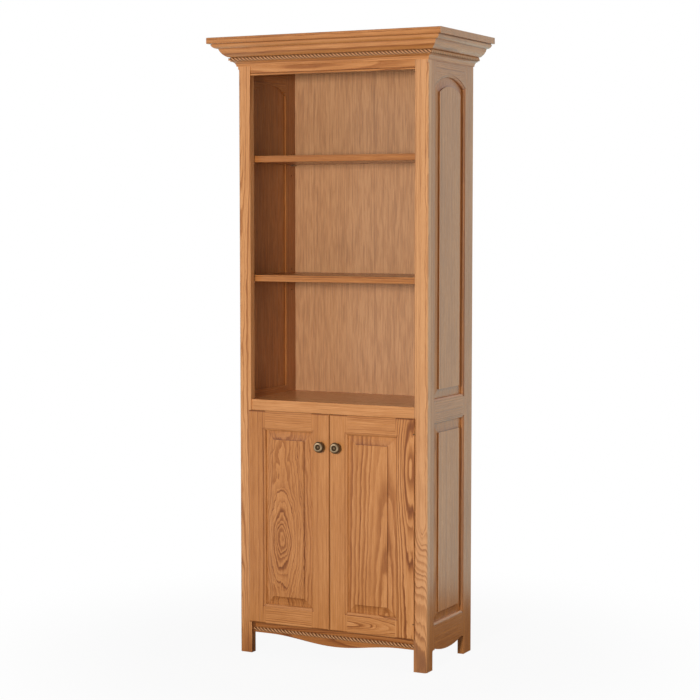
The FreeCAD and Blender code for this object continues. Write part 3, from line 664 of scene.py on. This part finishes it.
plated_steel = speckled("plated_steel", ((0.55, 0.53, 0.49), (0.68, 0.66, 0.62)), 3 * millimetre,
                        (0.24, 0.42), 1.0, 0.03 * millimetre)
pale_zinc = speckled("pale_zinc", ((0.64, 0.58, 0.48), (0.76, 0.70, 0.60)), 4 * millimetre,
                     (0.32, 0.50), 1.0, 0.04 * millimetre)
dark_bronze = speckled("dark_bronze", ((0.10, 0.062, 0.034), (0.16, 0.10, 0.056)), 2 * millimetre,
                       (0.38, 0.55), 0.9, 0.03 * millimetre)
brown_plastic = speckled("brown_plastic", ((0.085, 0.045, 0.025), (0.12, 0.066, 0.038)), 1 * millimetre,
                         (0.40, 0.55), 0.0, 0.05 * millimetre)
print("speckled finishes:", plated_steel.name, pale_zinc.name, dark_bronze.name, brown_plastic.name)

# %% Dress the small hardware
hardware_finishes = {
    plated_steel: ["back_nails", *on_both_sides("strike_plate", "knob_screw")],
    dark_bronze: ["hinge_screws", *on_both_sides("hinge_leaves", "door_hinge_pins")],
    pale_zinc: ["shelf_supports"],
    brown_plastic: ["magnet_catch"],
}
for finish, names in hardware_finishes.items():
    for name in names:
        dress(name, finish)
    print(finish.name, "on", len(names), "pieces")

# %% [markdown]
# ## The rope mouldings
# Under the crown and across the apron runs a moulding carved like a twisted rope of three strands,
# split along its length so that its flat back sits against the wood. A rope is a section that turns as
# it travels, so we draw one three-lobed section and spin it about its own axis with a small step
# forward each time. Cutting planes then give it its flat back and its mitred ends.

# %% A helper that cuts along a plane
def cut_off(shaped, point, outward):
    """Removes what lies on the outward side of a plane and closes the cut."""
    everything = shaped.verts[:] + shaped.edges[:] + shaped.faces[:]
    cut = bmesh.ops.bisect_plane(shaped, geom=everything, plane_co=point, plane_no=outward,
                                 clear_outer=True)
    rim = [part for part in cut["geom_cut"] if isinstance(part, bmesh.types.BMEdge)]
    bmesh.ops.triangle_fill(shaped, edges=rim, use_beauty=True)


print("helper that cuts along a plane:", cut_off.__name__)

# %% Spin a rope and cut its flat back
strands = 3
rope_pitch = 36 * millimetre
groove_share = 0.50
steps_per_turn = 16
points_around = 24


def twisted_rope(length, radius, flat):
    """A rope along X about the origin, its back cut off at y = flat."""
    shaped = bmesh.new()
    hollow = shaped.verts.layers.float.new("hollow")
    bmesh.ops.create_circle(shaped, segments=points_around, radius=radius)
    bmesh.ops.rotate(shaped, verts=shaped.verts, matrix=Matrix.Rotation(math.radians(90), 3, "Y"))
    for point in shaped.verts:
        angle = math.atan2(point.co.z, point.co.y)
        crest = abs(math.cos(strands / 2 * angle))
        point[hollow] = 1.0 - crest
        point.co *= 1.0 - groove_share * (1.0 - crest)
    step = rope_pitch / steps_per_turn
    steps = math.ceil(length / step) + 2
    bmesh.ops.translate(shaped, verts=shaped.verts, vec=(-steps * step / 2, 0, 0))
    bmesh.ops.spin(shaped, geom=shaped.verts[:] + shaped.edges[:], axis=(1, 0, 0), cent=(0, 0, 0),
                   dvec=(step, 0, 0), angle=math.tau * steps / steps_per_turn, steps=steps)
    cut_off(shaped, (0, flat, 0), (0, 1, 0))
    return shaped


print("strands follow each other every", round(rope_pitch / strands / millimetre), "mm")

# %% [markdown]
# The grooves are darker than the strands: stain gathers in them, and their colour also holds painted
# shade. The whole rope is paler and takes a share of grey as painted sheen, and the ropes on the sides
# have paler grooves for the painted sheen of the sides. Each point of the section carries how deep in a
# groove it lies, the spin copies that along the rope, and the finish reads it as an attribute.

# %% Oak for the ropes
# groove colours: stain with painted shade; the side ropes' grooves are paler for the painted sheen of the
# sides
front_groove_stain_and_shade = (0.130, 0.046, 0.015)
side_groove_stain_and_shade = (0.300, 0.150, 0.070)
# painted sheen: the rope's paler, greyer cut
carved_cut = {"ring_width": 2.8, "wander": 6.0, "contrast": 0.5, "tone": -0.32, "greyness_and_sheen": 0.35}


def carved_oak(name, lay, pith, groove_stain_and_shade):
    draw = random.Random(name)
    finish = oak_board(name, lay, pith, seed=draw.uniform(0, 60), **carved_cut)
    tree = finish.node_tree
    lacquer = next(node for node in tree.nodes if node.type == "BSDF_PRINCIPLED")
    grain_colour = lacquer.inputs["Base Color"].links[0].from_socket
    depth_in_groove = add_node(tree, "ShaderNodeAttribute", attribute_name="hollow").outputs["Fac"]
    # the grooves take the darker colour: stain with painted shade
    groove = level_ramp(tree, depth_in_groove, [(0.0, 0.0), (0.15, 0.05), (0.50, 0.95)])
    tree.links.new(mix_colours(tree, groove, grain_colour, groove_stain_and_shade), lacquer.inputs["Base Color"])
    return finish


print("groove colours:", front_groove_stain_and_shade, side_groove_stain_and_shade)

# %% [markdown]
# A rope takes its length, its radius and its place from the plain half round that it replaces. Its axis
# lies inside the wood by as much as the half round is thinner than its radius.

# %% Lay one rope
pith_above = Vector((0, 0, 0.1))


def lay_rope(name, lay, turn, trims, groove_stain_and_shade):
    """Replaces a plain rope by a twisted one; trims are (point, outward) planes."""
    lowest, highest = (Vector(corner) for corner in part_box(name))
    size = highest - lowest
    middle = (lowest + highest) / 2
    radius = size.z / 2
    thickness = min(size.x, size.y)
    shaped = twisted_rope(max(size.x, size.y), radius, thickness - radius)
    outward = turn @ Vector((0, -1, 0))
    axis_place = middle - outward * (radius - thickness / 2)
    bmesh.ops.rotate(shaped, verts=shaped.verts, matrix=turn)
    bmesh.ops.translate(shaped, verts=shaped.verts, vec=axis_place)
    for point, away in trims:
        cut_off(shaped, point, away)
    bmesh.ops.recalc_face_normals(shaped, faces=shaped.faces)
    for face in shaped.faces:
        face.smooth = True
    finish = carved_oak("twisted_" + name, lay, middle + pith_above, groove_stain_and_shade)
    rope = finished_mesh("twisted_" + name, shaped, finish)
    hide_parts(name)
    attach(rope, "case")
    print(rope.name, "has", len(rope.data.polygons), "faces")


print("the tree's middle passes", round(pith_above.z, 2), "m above a rope")

# %% Lay the three ropes of the crown, mitred at the corners
leg_low, leg_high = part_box("leg_right")
right_corner = Vector((leg_high[0], leg_low[1], 0))
left_corner = Vector((-leg_high[0], leg_low[1], 0))
mitre_right = Vector((1, 1, 0)).normalized()
mitre_left = Vector((-1, 1, 0)).normalized()
backwards = (0, 1, 0)
rear = Vector((0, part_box("rope_side_right")[1][1], 0))
facing_front = Matrix.Identity(3)
facing_right = Matrix.Rotation(math.radians(90), 3, "Z")
facing_left = Matrix.Rotation(math.radians(-90), 3, "Z")
lay_rope("rope_front", "level_front", facing_front,
         [(right_corner, mitre_right), (left_corner, mitre_left)], front_groove_stain_and_shade)
lay_rope("rope_side_right", "level_side", facing_right,
         [(right_corner, -mitre_right), (rear, backwards)], side_groove_stain_and_shade)
lay_rope("rope_side_left", "level_side", facing_left,
         [(left_corner, -mitre_left), (rear, backwards)], side_groove_stain_and_shade)

# %% Lay the rope of the apron, cut square
apron_low, apron_high = (Vector(corner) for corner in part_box("apron_rope"))
lay_rope("apron_rope", "level_front", facing_front,
         [(apron_low, (-1, 0, 0)), (apron_high, (1, 0, 0))], front_groove_stain_and_shade)

# %% [markdown]
# ## The knobs
# The doors have turned knobs of antique brass: a small rose on the wood, a slim neck, a flared head
# with a worn rim, and a dark dish with a button in the middle. The brass is dark where it has tarnished
# and bright where hands have worn it, with small blotches between, so one attribute, the wear, steers
# its colour, its roughness and how bare the metal is.

# %% Antique brass
tarnished_to_bright = [(0.0, (0.060, 0.032, 0.014)), (0.45, (0.20, 0.118, 0.052)),
                       (1.0, (0.85, 0.61, 0.37))]
brass_roughness = (0.62, 0.30)
brass_bareness = (0.45, 1.0)
blotches_per_metre = 260.0
blotch_share = 0.7
blotch_relief = 0.25
blotch_depth = 0.1 * millimetre


def antique_brass():
    finish = blank_finish("antique_brass")
    tree = finish.node_tree
    worn = add_node(tree, "ShaderNodeAttribute", attribute_name="wear").outputs["Fac"]
    place = add_node(tree, "ShaderNodeTexCoord").outputs["Object"]
    blotch = add_node(tree, "ShaderNodeTexNoise",
                      {"Vector": place, "Scale": blotches_per_metre, "Detail": 5.0}).outputs[0]
    patchy = layered(tree, worn, [(work_out(tree, "SUBTRACT", blotch, 0.5), blotch_share)])
    relief = add_node(tree, "ShaderNodeBump",
                      {"Height": blotch, "Strength": blotch_relief, "Distance": blotch_depth}).outputs[0]
    metal = add_node(tree, "ShaderNodeBsdfPrincipled",
                     {"Base Color": colour_ramp(tree, patchy, tarnished_to_bright),
                      "Roughness": fade(tree, patchy, 0.0, 1.0, *brass_roughness),
                      "Metallic": fade(tree, patchy, 0.0, 1.0, *brass_bareness), "Normal": relief})
    show_surface(tree, metal)
    return finish


brass = antique_brass()
print(brass.name, "has", len(brass.node_tree.nodes), "nodes")

# %% [markdown]
# A turned piece is a profile spun about an axis. Each point of the profile gives its distance from the
# axis, its distance from the door and its wear. One level of subdivision rounds the turning.

# %% The knob's profile
knob_profile = [  # millimetres from the axis, millimetres from the door, wear
    (8.6, 0.0, 0.10), (8.6, 1.2, 0.25), (7.8, 2.2, 0.20), (6.0, 3.6, 0.05), (5.3, 5.6, 0.10),
    (6.0, 7.6, 0.10), (8.8, 9.4, 0.10), (13.0, 11.0, 0.12), (15.7, 12.7, 0.15), (16.6, 14.5, 0.22),
    (16.3, 16.4, 0.25), (15.0, 18.4, 0.25), (13.7, 19.9, 0.35), (12.7, 20.7, 0.95), (11.1, 21.3, 1.00),
    (9.6, 21.8, 1.00), (8.6, 21.7, 0.90), (7.8, 20.5, 0.15), (6.4, 19.6, 0.00), (4.8, 19.6, 0.00),
    (3.6, 20.1, 0.25), (2.2, 20.8, 0.55), (0.0, 21.1, 0.70),
]
print("knob width in mm:", 2 * max(from_axis for from_axis, from_door, worn in knob_profile))

# %% Turn one knob
knob_steps = 40
weld_distance = 0.01 * millimetre


def turned_knob(seat):
    """A knob whose back stands on seat and which faces the front."""
    shaped = bmesh.new()
    wear = shaped.verts.layers.float.new("wear")
    previous = None
    for from_axis, from_door, worn in knob_profile:
        point = shaped.verts.new(seat + Vector((from_axis, -from_door, 0)) * millimetre)
        point[wear] = worn
        if previous:
            shaped.edges.new((previous, point))
        previous = point
    bmesh.ops.spin(shaped, geom=shaped.verts[:] + shaped.edges[:], axis=(0, 1, 0), cent=seat,
                   angle=math.tau, steps=knob_steps, use_merge=True)
    bmesh.ops.remove_doubles(shaped, verts=shaped.verts, dist=weld_distance)
    bmesh.ops.recalc_face_normals(shaped, faces=shaped.faces)
    for face in shaped.faces:
        face.smooth = True
    return shaped


print("steps around a knob:", knob_steps)

# %% Set a knob on each door
for side in both:
    node = f"knob_{side}"
    lowest, highest = (Vector(corner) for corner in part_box(node))
    seat = Vector(((lowest.x + highest.x) / 2, highest.y, (lowest.z + highest.z) / 2))
    knob = finished_mesh("turned_" + node, turned_knob(seat), brass)
    rounding = knob.modifiers.new("rounding", "SUBSURF")
    rounding.levels = 1
    rounding.render_levels = 1
    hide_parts(node)
    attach(knob, f"door_{side}")
    print(knob.name, "turned with", len(knob.data.polygons), "faces")
